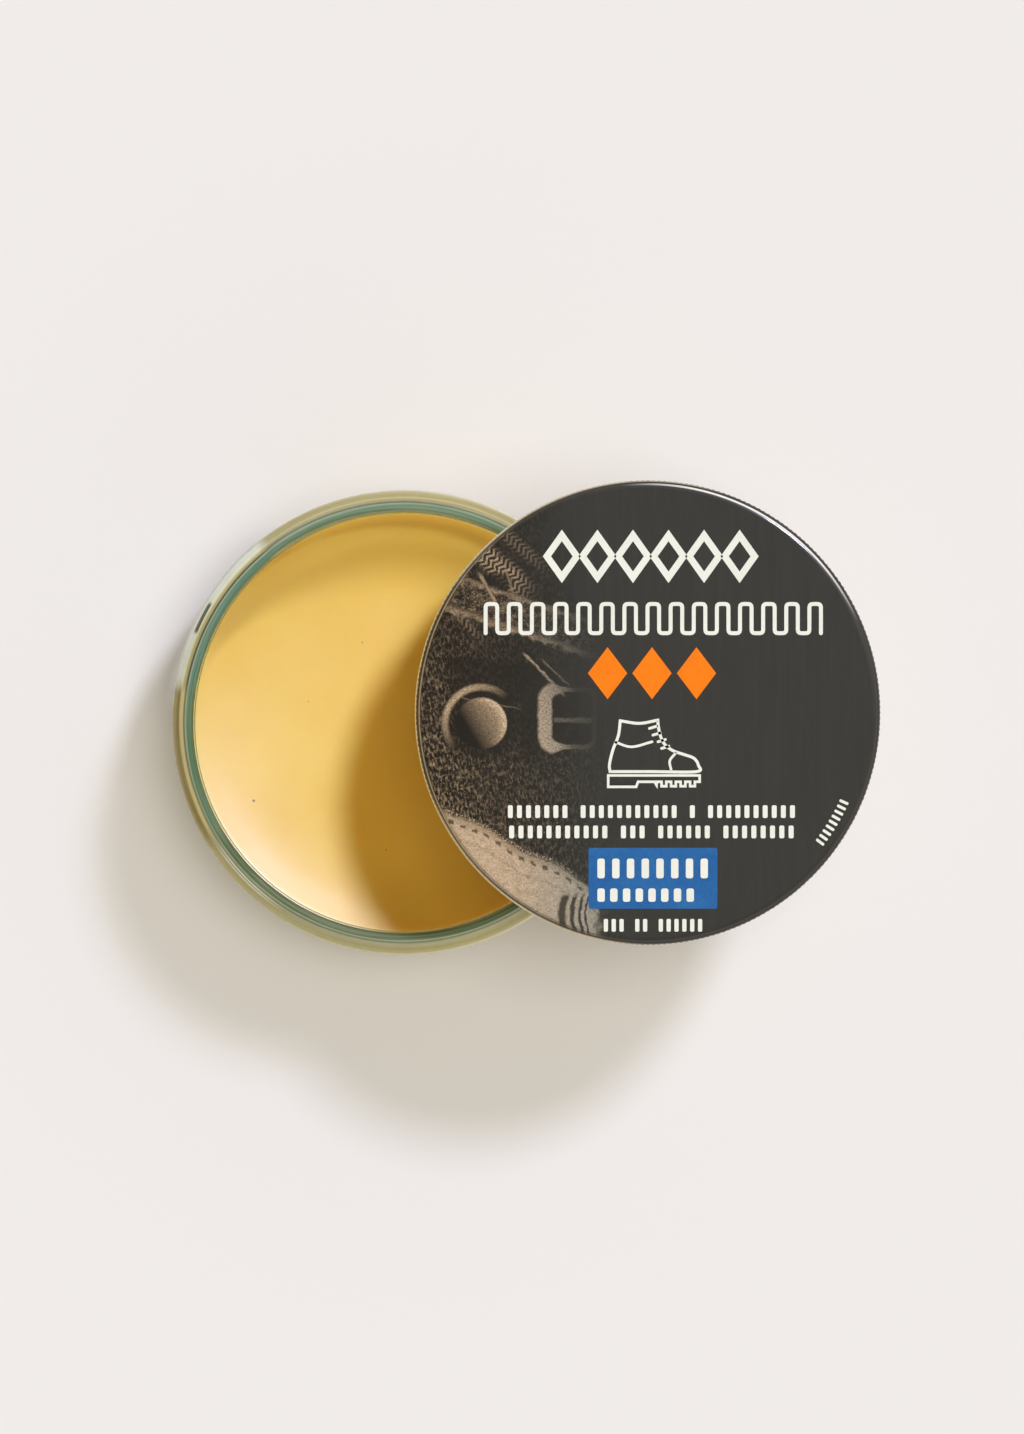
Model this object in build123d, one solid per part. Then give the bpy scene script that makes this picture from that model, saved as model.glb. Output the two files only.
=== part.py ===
from build123d import *
import math
import os

os.makedirs("parts", exist_ok=True)

# Screw-lid glass jar of hard shoe wax, in millimetres.
# Origin: centre of the jar's base, on the table. +Z up, jar axis on Z.
# The lid is held level, beside (+X) and above the mouth, with a loose
# sealing disc at its open edge. Lid parts are modelled screwed home on the
# jar, and moved to rest at the end.

# ----- glass jar, outside -----
body_r = 37.8
heel_r = 3.8             # rounding between base and body
body_top_z = 24.6        # end of the straight side
shoulder_r = 2.35        # rounding at the top of the body
shoulder_rise = 0.35     # slope from the shoulder in to the neck
neck_r = 35.2            # plain neck between thread turns
rim_z = 39.5             # sealing land on top of the rim
rim_out_r = 0.55         # outer rounding of the rim
rim_in_r = 0.75          # inner rounding of the rim
bearing_in_r = 28.5      # inner edge of the flat ring the jar stands on
bearing_out_r = body_r - heel_r
punt_h = 1.2             # height of the hollow under the base
punt_r = 22.0            # flat part of that hollow

# ----- glass jar, inside -----
mouth_r = 33.75          # bore at the rim
cavity_r = 33.30         # bore at the floor, narrower for the pressing draft
floor_z = 5.4
floor_fillet = 3.5       # rounding between floor and wall
wall_low_z = floor_z + floor_fillet
wall_top_z = rim_z - rim_in_r

# ----- glass thread, right hand -----
lead = 5.0               # axial travel of one turn
thread_crest_r = 35.95
thread_embed = 0.5       # depth of the thread's root inside the neck
thread_base_h = 2.4      # axial width at the root
thread_tip_h = 1.0       # axial width at the crest
thread_low_z = 30.9      # centre of the thread at its lower end
thread_turns = 1.2
thread_start_deg = 20.0

# ----- wax -----
wax_gap = 0.05
wax_top_z = 34.0

# ----- paper label on the side -----
label_gap = 0.03
label_t = 0.10
label_mid_deg = 150.0    # middle of the label, from +X
label_half_deg = 26.0
label_z0, label_z1 = 6.0, 24.0
label_corner_r = 2.0
label_cut_depth = 60     # reaches from the axis past the label

# ----- lid shell, thin pressed sheet -----
sheet = 0.25
lid_top_z = 41.3
lid_h = 11.4
lid_bottom_z = lid_top_z - lid_h
skirt_in_r = 36.30
skirt_out_r = skirt_in_r + sheet
corner_r = 1.5           # outside rounding between top and skirt
hem_r = 0.42             # radius of the rolled hem's section
hem_out_r = 36.90
sheet_bite = 0.12        # grip and bead both start this far into the skirt

grip_out_r = 36.78       # gripping band, at the ridge crests
grip_valley_r = skirt_out_r + 0.02
grip_z0, grip_z1 = 35.4, 39.4
grip_ridges = 144

bead_tip_r = 35.55       # rolled thread inside the lid
bead_base_h = 2.2
bead_tip_h = 1.0
bead_low_z = lid_bottom_z + 1.25
bead_below = 1.60        # the bead runs this far under the glass thread
bead_turns = 1.0

# ----- liner in the lid and loose disc on the rim -----
wad_r = 35.2
wad_t = 0.60
wad_top_z = lid_top_z - sheet - 0.03
disc_r = 35.3
disc_t = 0.80
disc_bottom_z = rim_z + 0.05
disc_edge_r = 0.15

# ----- rest position of the lid and disc -----
lid_dx, lid_dy = 38.8, 1.6
aside_dz = 10.0          # rise that goes with the sideways travel
unscrew_turns = 2        # whole turns, so the lid keeps its heading
unscrew_dz = unscrew_turns * lead


def arc(centre_x, centre_z, radius, start_deg, end_deg):
    """Arc about a centre, between two angles in degrees."""
    angles = (start_deg, 0.5 * (start_deg + end_deg), end_deg)
    points = [
        (
            centre_x + radius * math.cos(math.radians(angle)),
            centre_z + radius * math.sin(math.radians(angle)),
        )
        for angle in angles
    ]
    return ThreePointArc(*points)


def turned(section):
    """Solid of revolution about Z; section x = radius, y = height."""
    return revolve(Plane.XZ * section, axis=Axis.Z)


def helical_rib(root_r, tip_r, base_h, tip_h, z_low, turns, start_deg):
    """Right-hand rib between root_r and tip_r, centred on z_low at its low end."""
    mid_r = 0.5 * (root_r + tip_r)
    path = Helix(pitch=lead, height=lead * turns, radius=mid_r)
    half_base, half_tip = 0.5 * base_h, 0.5 * tip_h
    root_x, tip_x = root_r - mid_r, tip_r - mid_r
    outline = Polyline(
        (root_x, -half_base),
        (tip_x, -half_tip),
        (tip_x, half_tip),
        (root_x, half_base),
        close=True,
    )
    start_plane = Plane(origin=path @ 0, x_dir=(1, 0, 0), z_dir=path % 0)
    rib = sweep(start_plane * make_face(outline), path=path, is_frenet=True)
    return Pos(0, 0, z_low) * Rot(0, 0, start_deg) * rib


def make_glass_jar():
    shoulder_x = body_r - shoulder_r
    shoulder_z = body_top_z + shoulder_r
    neck_low_z = shoulder_z + shoulder_rise
    rim_out_x = neck_r - rim_out_r
    rim_out_z = rim_z - rim_out_r
    rim_in_x = mouth_r + rim_in_r
    floor_x = cavity_r - floor_fillet
    section = make_face([
        # base and outside, going up
        Line((0, punt_h), (punt_r, punt_h)),
        Line((punt_r, punt_h), (bearing_in_r, 0)),
        Line((bearing_in_r, 0), (bearing_out_r, 0)),
        arc(bearing_out_r, heel_r, heel_r, -90, 0),
        Line((body_r, heel_r), (body_r, body_top_z)),
        arc(shoulder_x, body_top_z, shoulder_r, 0, 90),
        Line((shoulder_x, shoulder_z), (neck_r, neck_low_z)),
        Line((neck_r, neck_low_z), (neck_r, rim_out_z)),
        # rim
        arc(rim_out_x, rim_out_z, rim_out_r, 0, 90),
        Line((rim_out_x, rim_z), (rim_in_x, rim_z)),
        arc(rim_in_x, wall_top_z, rim_in_r, 90, 180),
        # inside, going down
        Line((mouth_r, wall_top_z), (cavity_r, wall_low_z)),
        arc(floor_x, wall_low_z, floor_fillet, 0, -90),
        Line((floor_x, floor_z), (0, floor_z)),
        Line((0, floor_z), (0, punt_h)),
    ])
    thread = helical_rib(
        root_r=neck_r - thread_embed,
        tip_r=thread_crest_r,
        base_h=thread_base_h,
        tip_h=thread_tip_h,
        z_low=thread_low_z,
        turns=thread_turns,
        start_deg=thread_start_deg,
    )
    return turned(section) + thread


def make_wax_fill():
    """Wax following the drafted bore, wax_gap clear of the glass."""
    draft = (mouth_r - cavity_r) / (wall_top_z - wall_low_z)
    low_r = cavity_r - wax_gap
    top_r = low_r + draft * (wax_top_z - wall_low_z)
    bottom_z = floor_z + wax_gap
    edge_r = floor_fillet - wax_gap
    flat_r = low_r - edge_r
    section = make_face([
        Line((0, bottom_z), (flat_r, bottom_z)),
        arc(flat_r, bottom_z + edge_r, edge_r, -90, 0),
        Line((low_r, bottom_z + edge_r), (top_r, wax_top_z)),
        Line((top_r, wax_top_z), (0, wax_top_z)),
        Line((0, wax_top_z), (0, bottom_z)),
    ])
    return turned(section)


def make_side_label():
    """Thin tube round the body, cut to a rounded rectangle."""
    inner_r = body_r + label_gap
    outer_r = inner_r + label_t
    height = label_z1 - label_z0
    width = 2 * outer_r * math.sin(math.radians(label_half_deg))
    band = Pos(0, 0, label_z0) * extrude(Circle(outer_r) - Circle(inner_r), amount=height)
    window_plane = Plane(
        origin=(0, 0, 0.5 * (label_z0 + label_z1)), x_dir=(0, 1, 0), z_dir=(1, 0, 0)
    )
    window = window_plane * RectangleRounded(width, height, label_corner_r)
    return band & (Rot(0, 0, label_mid_deg) * extrude(window, amount=label_cut_depth))


def make_lid_sheet():
    """Top, skirt and rolled hem, turned as one section."""
    under_z = lid_top_z - sheet
    hem_z = lid_bottom_z + hem_r
    corner_x = skirt_out_r - corner_r
    corner_z = lid_top_z - corner_r
    section = make_face([
        Line((0, under_z), (corner_x, under_z)),
        arc(corner_x, corner_z, corner_r - sheet, 90, 0),
        Line((skirt_in_r, corner_z), (skirt_in_r, hem_z)),
        Line((skirt_in_r, hem_z), (skirt_out_r, hem_z)),
        Line((skirt_out_r, hem_z), (skirt_out_r, corner_z)),
        arc(corner_x, corner_z, corner_r, 0, 90),
        Line((corner_x, lid_top_z), (0, lid_top_z)),
        Line((0, lid_top_z), (0, under_z)),
    ])
    return turned(section + Pos(hem_out_r - hem_r, hem_z) * Circle(hem_r))


def make_grip():
    """Ring of shallow vertical ridges lying on the skirt."""
    points = []
    for i in range(grip_ridges):
        for step, radius in ((0.0, grip_out_r), (0.5, grip_valley_r)):
            angle = 2 * math.pi * (i + step) / grip_ridges
            points.append((radius * math.cos(angle), radius * math.sin(angle)))
    section = make_face(Polyline(*points, close=True)) - Circle(skirt_in_r + sheet_bite)
    return Pos(0, 0, grip_z0) * extrude(section, amount=grip_z1 - grip_z0)


def make_lid_shell():
    # turning by rise / lead keeps the bead bead_below under the glass thread
    bead_rise = bead_low_z - (thread_low_z - bead_below)
    bead = helical_rib(
        root_r=skirt_in_r + sheet_bite,
        tip_r=bead_tip_r,
        base_h=bead_base_h,
        tip_h=bead_tip_h,
        z_low=bead_low_z,
        turns=bead_turns,
        start_deg=thread_start_deg + 360.0 * bead_rise / lead,
    )
    return make_lid_sheet() + make_grip() + bead


def make_liner_wad():
    return Pos(0, 0, wad_top_z - wad_t) * extrude(Circle(wad_r), amount=wad_t)


def make_sealing_disc():
    disc = Pos(0, 0, disc_bottom_z) * extrude(Circle(disc_r), amount=disc_t)
    return fillet(disc.edges().filter_by(GeomType.CIRCLE), disc_edge_r)


# The disc only travels aside; the shell and its liner also unscrew.
disc_rest = Pos(lid_dx, lid_dy, aside_dz)
lid_rest = Pos(lid_dx, lid_dy, aside_dz + unscrew_dz)

parts = {
    "glass_jar": make_glass_jar(),
    "wax_fill": make_wax_fill(),
    "side_label": make_side_label(),
    "lid_shell": lid_rest * make_lid_shell(),
    "liner_wad": lid_rest * make_liner_wad(),
    "sealing_disc": disc_rest * make_sealing_disc(),
}
for name, solid in parts.items():
    export_step(solid, f"parts/{name}.step")
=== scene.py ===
"""A glass jar of yellow wax and its printed screw lid, with liner board and foam disc.

The jar stands on z = 0 with its axis on the z axis. Lid, liner and disc share an upright
axis at (LID_X, LID_Y), printed side up. Front is -y, back is +y, left is -x. Shapes are
worked out in millimetres and scaled to metres when a mesh is made.
"""

import math
from functools import reduce

import bmesh
import bpy
import numpy as np
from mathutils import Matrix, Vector


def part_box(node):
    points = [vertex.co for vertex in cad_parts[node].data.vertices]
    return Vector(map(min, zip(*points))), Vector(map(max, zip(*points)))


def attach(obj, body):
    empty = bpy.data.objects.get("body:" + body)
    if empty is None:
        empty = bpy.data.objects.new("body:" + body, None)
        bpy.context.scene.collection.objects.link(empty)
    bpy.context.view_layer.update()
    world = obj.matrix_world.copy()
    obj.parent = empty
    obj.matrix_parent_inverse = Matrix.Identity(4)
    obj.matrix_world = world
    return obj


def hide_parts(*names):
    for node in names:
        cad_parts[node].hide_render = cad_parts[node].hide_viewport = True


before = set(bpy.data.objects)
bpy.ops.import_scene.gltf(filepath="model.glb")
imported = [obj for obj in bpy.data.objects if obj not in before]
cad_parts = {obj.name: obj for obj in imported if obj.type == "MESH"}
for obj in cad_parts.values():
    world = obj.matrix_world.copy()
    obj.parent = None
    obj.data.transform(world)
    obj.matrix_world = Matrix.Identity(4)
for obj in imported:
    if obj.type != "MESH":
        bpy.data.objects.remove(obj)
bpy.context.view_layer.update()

# ---------------------------------------------------------------------------
# Sizes in millimetres, read from the frame where it has them
# ---------------------------------------------------------------------------
MM = 0.001
TAU = 2 * math.pi


def box_mm(node):
    low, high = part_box(node)
    return np.array(low) / MM, np.array(high) / MM


lid_low, lid_high = box_mm("lid_shell")
jar_low, jar_high = box_mm("glass_jar")
disc_low, disc_high = box_mm("sealing_disc")
liner_low, liner_high = box_mm("liner_wad")
label_low, label_high = box_mm("side_label")

LID_X = 0.5 * (lid_low[0] + lid_high[0])
LID_Y = 0.5 * (lid_low[1] + lid_high[1])
LID_TOP, LID_BOTTOM = lid_high[2], lid_low[2]
LID_R = 0.5 * (lid_high[0] - lid_low[0])
JAR_R, RIM_Z = jar_high[0], jar_high[2]

THREAD_LEAD = 5.0
NECK_R = 35.2
BORE_TOP_R, BORE_LOW_R = 33.75, 33.30
FLOOR_Z, FLOOR_FILLET = 5.4, 3.5
LIP_IN_R, LIP_OUT_R = 0.75, 0.55  # roundings of the rim, bore side and neck side
BORE_TOP_Z = RIM_Z - LIP_IN_R
BORE_LOW_Z = FLOOR_Z + FLOOR_FILLET
LABEL_ANGLE = 150.0  # degrees round the jar to the label's centre line
LABEL_BEND_R = 37.9  # radius used to wrap the label round the jar
KNURLS = 264


# ---------------------------------------------------------------------------
# Mesh helpers
# ---------------------------------------------------------------------------
def arc(x, z, radius, start, end, count):
    """Points on an arc, angles in degrees, both ends included."""
    return [
        (x + radius * math.cos(math.radians(a)), z + radius * math.sin(math.radians(a)))
        for a in np.linspace(start, end, count)
    ]


def smooth01(x):
    x = np.clip(x, 0.0, 1.0)
    return x * x * (3 - 2 * x)


class Skin:
    """Rings of points round an upright axis, sewn into one closed skin."""

    def __init__(self, axis_x=0.0, axis_y=0.0):
        self.axis_x, self.axis_y = axis_x, axis_y
        self.verts, self.faces, self.slots, self.last = [], [], [], None

    def pole(self, z, slot=0):
        start = len(self.verts)
        self.verts.append((self.axis_x, self.axis_y, z))
        self._join((start, 1), slot)

    def ring(self, count, radius, z, slot=0, shape=None):
        """Add a ring; shape(angle, radius, z) may move its points."""
        angle = TAU * np.arange(count) / count
        radii, heights = np.full(count, float(radius)), np.full(count, float(z))
        if shape is not None:
            radii, heights = shape(angle, radii, heights)
        start = len(self.verts)
        xs = self.axis_x + radii * np.cos(angle)
        ys = self.axis_y + radii * np.sin(angle)
        self.verts += list(zip(xs, ys, heights))
        self._join((start, count), slot)

    def _join(self, new, slot):
        old, self.last = self.last, new
        if old is None:
            return
        (a, count_a), (b, count_b) = old, new
        if count_a == count_b:
            faces = [
                (a + i, a + (i + 1) % count_a, b + (i + 1) % count_b, b + i)
                for i in range(count_a)
            ]
        elif count_a == 1:
            faces = [(a, b + (i + 1) % count_b, b + i) for i in range(count_b)]
        elif count_b == 1:
            faces = [(a + i, a + (i + 1) % count_a, b) for i in range(count_a)]
        elif count_a < count_b:
            ratio = count_b // count_a
            faces = []
            for i in range(count_a):
                fine = [b + (i * ratio + j) % count_b for j in range(ratio + 1)]
                faces.append((a + i, a + (i + 1) % count_a, *reversed(fine)))
        else:
            ratio = count_a // count_b
            faces = []
            for i in range(count_b):
                fine = [a + (i * ratio + j) % count_a for j in range(ratio + 1)]
                faces.append((*fine, b + (i + 1) % count_b, b + i))
        self.faces += faces
        self.slots += [slot] * len(faces)

    def build(self, name):
        return mesh_object(name, self.verts, self.faces, self.slots)


def mesh_object(name, verts_mm, faces, slots=None, smooth=True):
    mesh = bpy.data.meshes.new(name)
    points = np.array(verts_mm, float) * MM
    mesh.from_pydata([tuple(p) for p in points], [], [tuple(f) for f in faces])
    if slots is not None:
        mesh.polygons.foreach_set("material_index", np.array(slots, np.int32))
    work = bmesh.new()
    work.from_mesh(mesh)
    bmesh.ops.recalc_face_normals(work, faces=work.faces)
    work.to_mesh(mesh)
    work.free()
    mesh.polygons.foreach_set("use_smooth", [smooth] * len(mesh.polygons))
    mesh.update()
    obj = bpy.data.objects.new(name, mesh)
    bpy.context.scene.collection.objects.link(obj)
    return obj


def register(obj, *materials, body, slot, node=None):
    """Give a piece its materials and tell the frame what it belongs to."""
    for material in materials:
        obj.data.materials.append(material)
    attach(obj, body)
    if node:
        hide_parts(node)
    return obj


def helix_rib(angle, z, low, start, turns, half_base, half_tip):
    """Height 0 to 1 of a helical rib that starts at height low and start degrees."""
    out = np.zeros_like(z)
    span = TAU * turns
    fade = math.radians(24.0)
    for k in range(-1, 4):
        along = angle - math.radians(start) + TAU * k
        away = np.abs(z - (low + THREAD_LEAD * along / TAU))
        height = smooth01((half_base - away) / (half_base - half_tip))
        ends = smooth01(along / fade) * smooth01((span - along) / fade)
        inside = (along > 0) & (along < span)
        out = np.maximum(out, np.where(inside, height * ends, 0.0))
    return out


# ---------------------------------------------------------------------------
# Shader helpers: numbers and colours written as Python expressions
# ---------------------------------------------------------------------------
def feed(tree, socket, value):
    """Set a socket from a number or an RGB triple, or link it to another socket."""
    if isinstance(value, Num):
        value = value.socket
    if isinstance(value, tuple):
        socket.default_value = (*value, 1.0)
    elif isinstance(value, (int, float)):
        socket.default_value = value
    else:
        tree.links.new(value, socket)


def add_node(tree, kind, inputs=None, **settings):
    """Add a node, set its properties, then feed its inputs by name or index."""
    node = tree.nodes.new("ShaderNode" + kind)
    for name, value in settings.items():
        setattr(node, name, value)
    for key, value in (inputs or {}).items():
        feed(tree, node.inputs[key], value)
    return node


class Num:
    """A number computed by shader nodes."""

    def __init__(self, tree, socket):
        self.tree, self.socket = tree, socket

    def math(self, operation, *others, clamp=False):
        inputs = dict(enumerate((self, *others)))
        node = add_node(self.tree, "Math", inputs, operation=operation, use_clamp=clamp)
        return Num(self.tree, node.outputs[0])

    def __add__(self, other):
        return self.math("ADD", other)

    def __sub__(self, other):
        return self.math("SUBTRACT", other)

    def __rsub__(self, other):
        return Num(self.tree, other).math("SUBTRACT", self)

    def __mul__(self, other):
        return self.math("MULTIPLY", other)

    def __truediv__(self, other):
        return self.math("DIVIDE", other)

    def __neg__(self):
        return self.math("MULTIPLY", -1.0)

    def abs(self):
        return self.math("ABSOLUTE")

    def sqrt(self):
        return self.math("SQRT")

    def sin(self):
        return self.math("SINE")

    def fract(self):
        return self.math("FRACT")

    def atan2(self, x):
        return self.math("ARCTAN2", x)

    def max(self, other):
        return self.math("MAXIMUM", other)

    def min(self, other):
        return self.math("MINIMUM", other)

    def clamp(self):
        return self.math("ADD", 0.0, clamp=True)

    def contrast(self, gain):
        """Spread about 0.5 by gain, kept within 0 to 1."""
        return ((self - 0.5) * gain + 0.5).clamp()

    def step(self, zero_at, one_at):
        """0 at zero_at, 1 at one_at, smooth between; either may be the larger."""
        rising = zero_at < one_at
        inputs = {
            "Value": self,
            "From Min": min(zero_at, one_at),
            "From Max": max(zero_at, one_at),
            "To Min": 0.0 if rising else 1.0,
            "To Max": 1.0 if rising else 0.0,
        }
        node = add_node(self.tree, "MapRange", inputs, interpolation_type="SMOOTHSTEP")
        return Num(self.tree, node.outputs["Result"])

    def band(self, outer, inner):
        """1 within inner of zero, 0 beyond outer on both sides."""
        return self.abs().step(outer, inner)

    def window(self, rise_from, rise_to, fall_from, fall_to):
        """0 outside, 1 between rise_to and fall_from."""
        return self.step(rise_from, rise_to) * self.step(fall_to, fall_from)


def hypot(x, y):
    return (x * x + y * y).sqrt()


class Material:
    """A Principled material whose inputs are written from expressions."""

    INPUTS = {
        "color": "Base Color",
        "rough": "Roughness",
        "metal": "Metallic",
        "ior": "IOR",
        "trans": "Transmission Weight",
        "coat": "Coat Weight",
        "coat_rough": "Coat Roughness",
        "coat_ior": "Coat IOR",
        "spec": "Specular IOR Level",
        "sss": "Subsurface Weight",
        "sss_scale": "Subsurface Scale",
    }

    def __init__(self, name):
        self.data = bpy.data.materials.new(name)
        self.data.use_nodes = True
        self.tree = self.data.node_tree
        self.principled = self.tree.nodes["Principled BSDF"]
        self.output = self.tree.nodes["Material Output"]
        self.position = self.node("TexCoord").outputs["Object"]

    def node(self, kind, inputs=None, **settings):
        return add_node(self.tree, kind, inputs, **settings)

    def split(self, vector):
        node = self.node("SeparateXYZ", {0: vector})
        return tuple(Num(self.tree, node.outputs[i]) for i in range(3))

    def coords(self, x=0.0, y=0.0):
        """Position in millimetres from the upright axis at x, y."""
        axes = zip(self.split(self.position), (x, y, 0.0))
        return tuple(axis.math("MULTIPLY_ADD", 1000.0, -origin) for axis, origin in axes)

    def vec(self, x, y, z):
        return self.node("CombineXYZ", {0: x, 1: y, 2: z}).outputs[0]

    def noise(self, vec=None, *, scale, detail, rough=0.5):
        """About 0 to 1, mean 0.5. Scale is in cycles per unit of vec, metres by default."""
        inputs = {
            "Scale": scale,
            "Detail": detail,
            "Roughness": rough,
            "Vector": vec or self.position,
        }
        return Num(self.tree, self.node("TexNoise", inputs).outputs["Fac"])

    def voronoi(self, vec=None, *, scale, feature="F1"):
        inputs = {"Scale": scale, "Vector": vec or self.position}
        node = self.node("TexVoronoi", inputs, feature=feature)
        return Num(self.tree, node.outputs["Distance"])

    def mix(self, factor, zero, one):
        """Colour zero where factor is 0, colour one where it is 1."""
        inputs = {0: factor, 6: zero, 7: one}
        return self.node("Mix", inputs, data_type="RGBA").outputs[2]

    def bsdf(self, kind, color):
        return self.node("Bsdf" + kind, {"Color": color}).outputs[0]

    def blend(self, factor, zero, one):
        """Mix two shaders."""
        return self.node("MixShader", {0: factor, 1: zero, 2: one}).outputs[0]

    def set(self, **values):
        for name, value in values.items():
            feed(self.tree, self.principled.inputs[self.INPUTS[name]], value)

    def bump(self, height, depth_mm, strength):
        inputs = {"Distance": depth_mm * MM, "Strength": strength, "Height": height}
        feed(self.tree, self.principled.inputs["Normal"], self.node("Bump", inputs).outputs[0])

    def surface(self, shader):
        feed(self.tree, self.output.inputs["Surface"], shader)


# ---------------------------------------------------------------------------
# Glass material
# ---------------------------------------------------------------------------
# Painted light of the wall seen along its height: green tint, painted highlights, painted shade
# and the label as seen through the glass. Columns: radius in mm, then RGB for the right and
# back, the label side, the left, and the front.
PAINTED_WALL_LIGHT = (
    (33.6, 0.473, 0.369, 0.118, 0.394, 0.388, 0.192, 0.446, 0.44, 0.224, 0.374, 0.338, 0.148),
    (33.85, 0.36, 0.356, 0.178, 0.104, 0.177, 0.102, 0.109, 0.163, 0.081, 0.118, 0.143, 0.07),
    (34.1, 0.156, 0.2, 0.116, 0.104, 0.211, 0.147, 0.098, 0.163, 0.093, 0.077, 0.106, 0.053),
    (34.35, 0.122, 0.186, 0.109, 0.089, 0.191, 0.135, 0.11, 0.189, 0.114, 0.122, 0.17, 0.094),
    (34.6, 0.146, 0.23, 0.143, 0.084, 0.177, 0.123, 0.099, 0.176, 0.104, 0.107, 0.143, 0.078),
    (34.85, 0.135, 0.215, 0.143, 0.131, 0.233, 0.175, 0.116, 0.201, 0.12, 0.11, 0.146, 0.084),
    (35.05, 0.207, 0.293, 0.217, 0.402, 0.483, 0.366, 0.367, 0.454, 0.306, 0.42, 0.484, 0.339),
    (35.2, 0.283, 0.36, 0.269, 0.043, 0.048, 0.024, 0.125, 0.138, 0.071, 0.217, 0.249, 0.167),
    (35.35, 0.091, 0.111, 0.065, 0.059, 0.055, 0.023, 0.24, 0.232, 0.105, 0.246, 0.263, 0.169),
    (35.5, 0.178, 0.188, 0.109, 0.474, 0.412, 0.196, 0.661, 0.563, 0.291, 0.422, 0.421, 0.296),
    (35.7, 0.374, 0.343, 0.198, 0.524, 0.472, 0.209, 0.815, 0.67, 0.342, 0.461, 0.443, 0.284),
    (35.9, 0.409, 0.347, 0.19, 0.703, 0.689, 0.404, 0.824, 0.695, 0.356, 0.548, 0.516, 0.326),
    (36.1, 0.555, 0.491, 0.276, 0.859, 0.836, 0.657, 0.298, 0.242, 0.099, 0.536, 0.485, 0.286),
    (36.3, 0.404, 0.351, 0.159, 0.758, 0.777, 0.686, 0.271, 0.212, 0.079, 0.461, 0.417, 0.22),
    (36.5, 0.369, 0.322, 0.133, 0.71, 0.744, 0.686, 0.294, 0.228, 0.09, 0.479, 0.433, 0.231),
    (36.7, 0.352, 0.309, 0.129, 0.758, 0.794, 0.71, 0.343, 0.274, 0.124, 0.492, 0.444, 0.239),
    (36.9, 0.435, 0.379, 0.192, 0.733, 0.753, 0.657, 0.384, 0.313, 0.169, 0.498, 0.444, 0.247),
    (37.1, 0.496, 0.446, 0.28, 0.726, 0.728, 0.633, 0.529, 0.455, 0.284, 0.67, 0.622, 0.409),
    (37.3, 0.904, 0.857, 0.7, 0.895, 0.89, 0.801, 0.503, 0.479, 0.313, 0.834, 0.811, 0.627),
)
RIGHT_AND_BACK, LABEL_SIDE, LEFT, FRONT = 1, 4, 7, 10  # first column of each tint


def painted_wall_ramp(mat, ring, column):
    low, high = PAINTED_WALL_LIGHT[0][0], PAINTED_WALL_LIGHT[-1][0]
    node = mat.node("ValToRGB", {0: (ring - low) / (high - low)})
    elements = node.color_ramp.elements
    last = len(PAINTED_WALL_LIGHT) - 1
    for i, row in enumerate(PAINTED_WALL_LIGHT):
        if 0 < i < last:
            element = elements.new((row[0] - low) / (high - low))
        else:
            element = elements[0] if i == 0 else elements[len(elements) - 1]
        element.color = (*row[column:column + 3], 1.0)
    return node.outputs[0]


def painted_wall_colour(mat, x, y, z, fine):
    """Painted colour of the wall by radius and by angle round the jar: tint, painted highlights,
    painted shade and the label seen through it.
    """
    # radius as seen from the camera, which looks past the upright wall at a slant
    lean = (z - RIM_Z) * 0.000826 + 1.0
    seen_x = x * lean - (z - RIM_Z) * 0.0143
    seen_y = y * lean
    ring = hypot(seen_x, seen_y)
    degrees = (-seen_y).atan2(-seen_x) * (180 / math.pi) + 180.0
    wander = mat.noise(mat.vec(x * 0.05, y * 0.05, 0.0), scale=1.0, detail=2.0)
    ring = ring + (wander - 0.5) * 0.05

    tint = painted_wall_ramp(mat, ring, RIGHT_AND_BACK)
    for column, sector in (
        (FRONT, (205.0, 216.0, 310.0, 335.0)),
        (LEFT, (168.0, 173.0, 205.0, 216.0)),
        (LABEL_SIDE, (126.0, 131.0, 168.0, 173.0)),
    ):
        tint = mat.mix(degrees.window(*sector), tint, painted_wall_ramp(mat, ring, column))
    # painted reflection: a short dark stroke on the label side, the label's print as seen
    # through the shoulder
    stroke = (ring - 36.42 + (degrees - 152.5) * 0.006).band(0.32, 0.20)
    stroke = stroke * degrees.step(147.6, 149.0) * degrees.step(157.4, 156.0)
    tint = mat.mix(stroke * 0.98, tint, (0.012, 0.012, 0.010))
    # painted highlights: two bright arcs at the front left
    glint = (ring - 35.5).band(0.13, 0.04).max((ring - 35.9).band(0.16, 0.05))
    glint = glint * degrees.step(211.0, 219.0) * degrees.step(238.0, 228.0)
    tint = mat.mix(glint * 0.9, tint, (0.93, 0.92, 0.76))
    # streaks along the wall and fine dark mottling
    streak = mat.noise(mat.vec(ring * 2.2, degrees * 0.03, 0.0), scale=1.0, detail=3.0)
    tint = mat.mix(streak.step(0.30, 0.75) * 0.16, tint, (0.75, 0.76, 0.62))
    return mat.mix(fine.step(0.35, 0.8) * 0.08, tint, (0.16, 0.17, 0.11))


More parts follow.
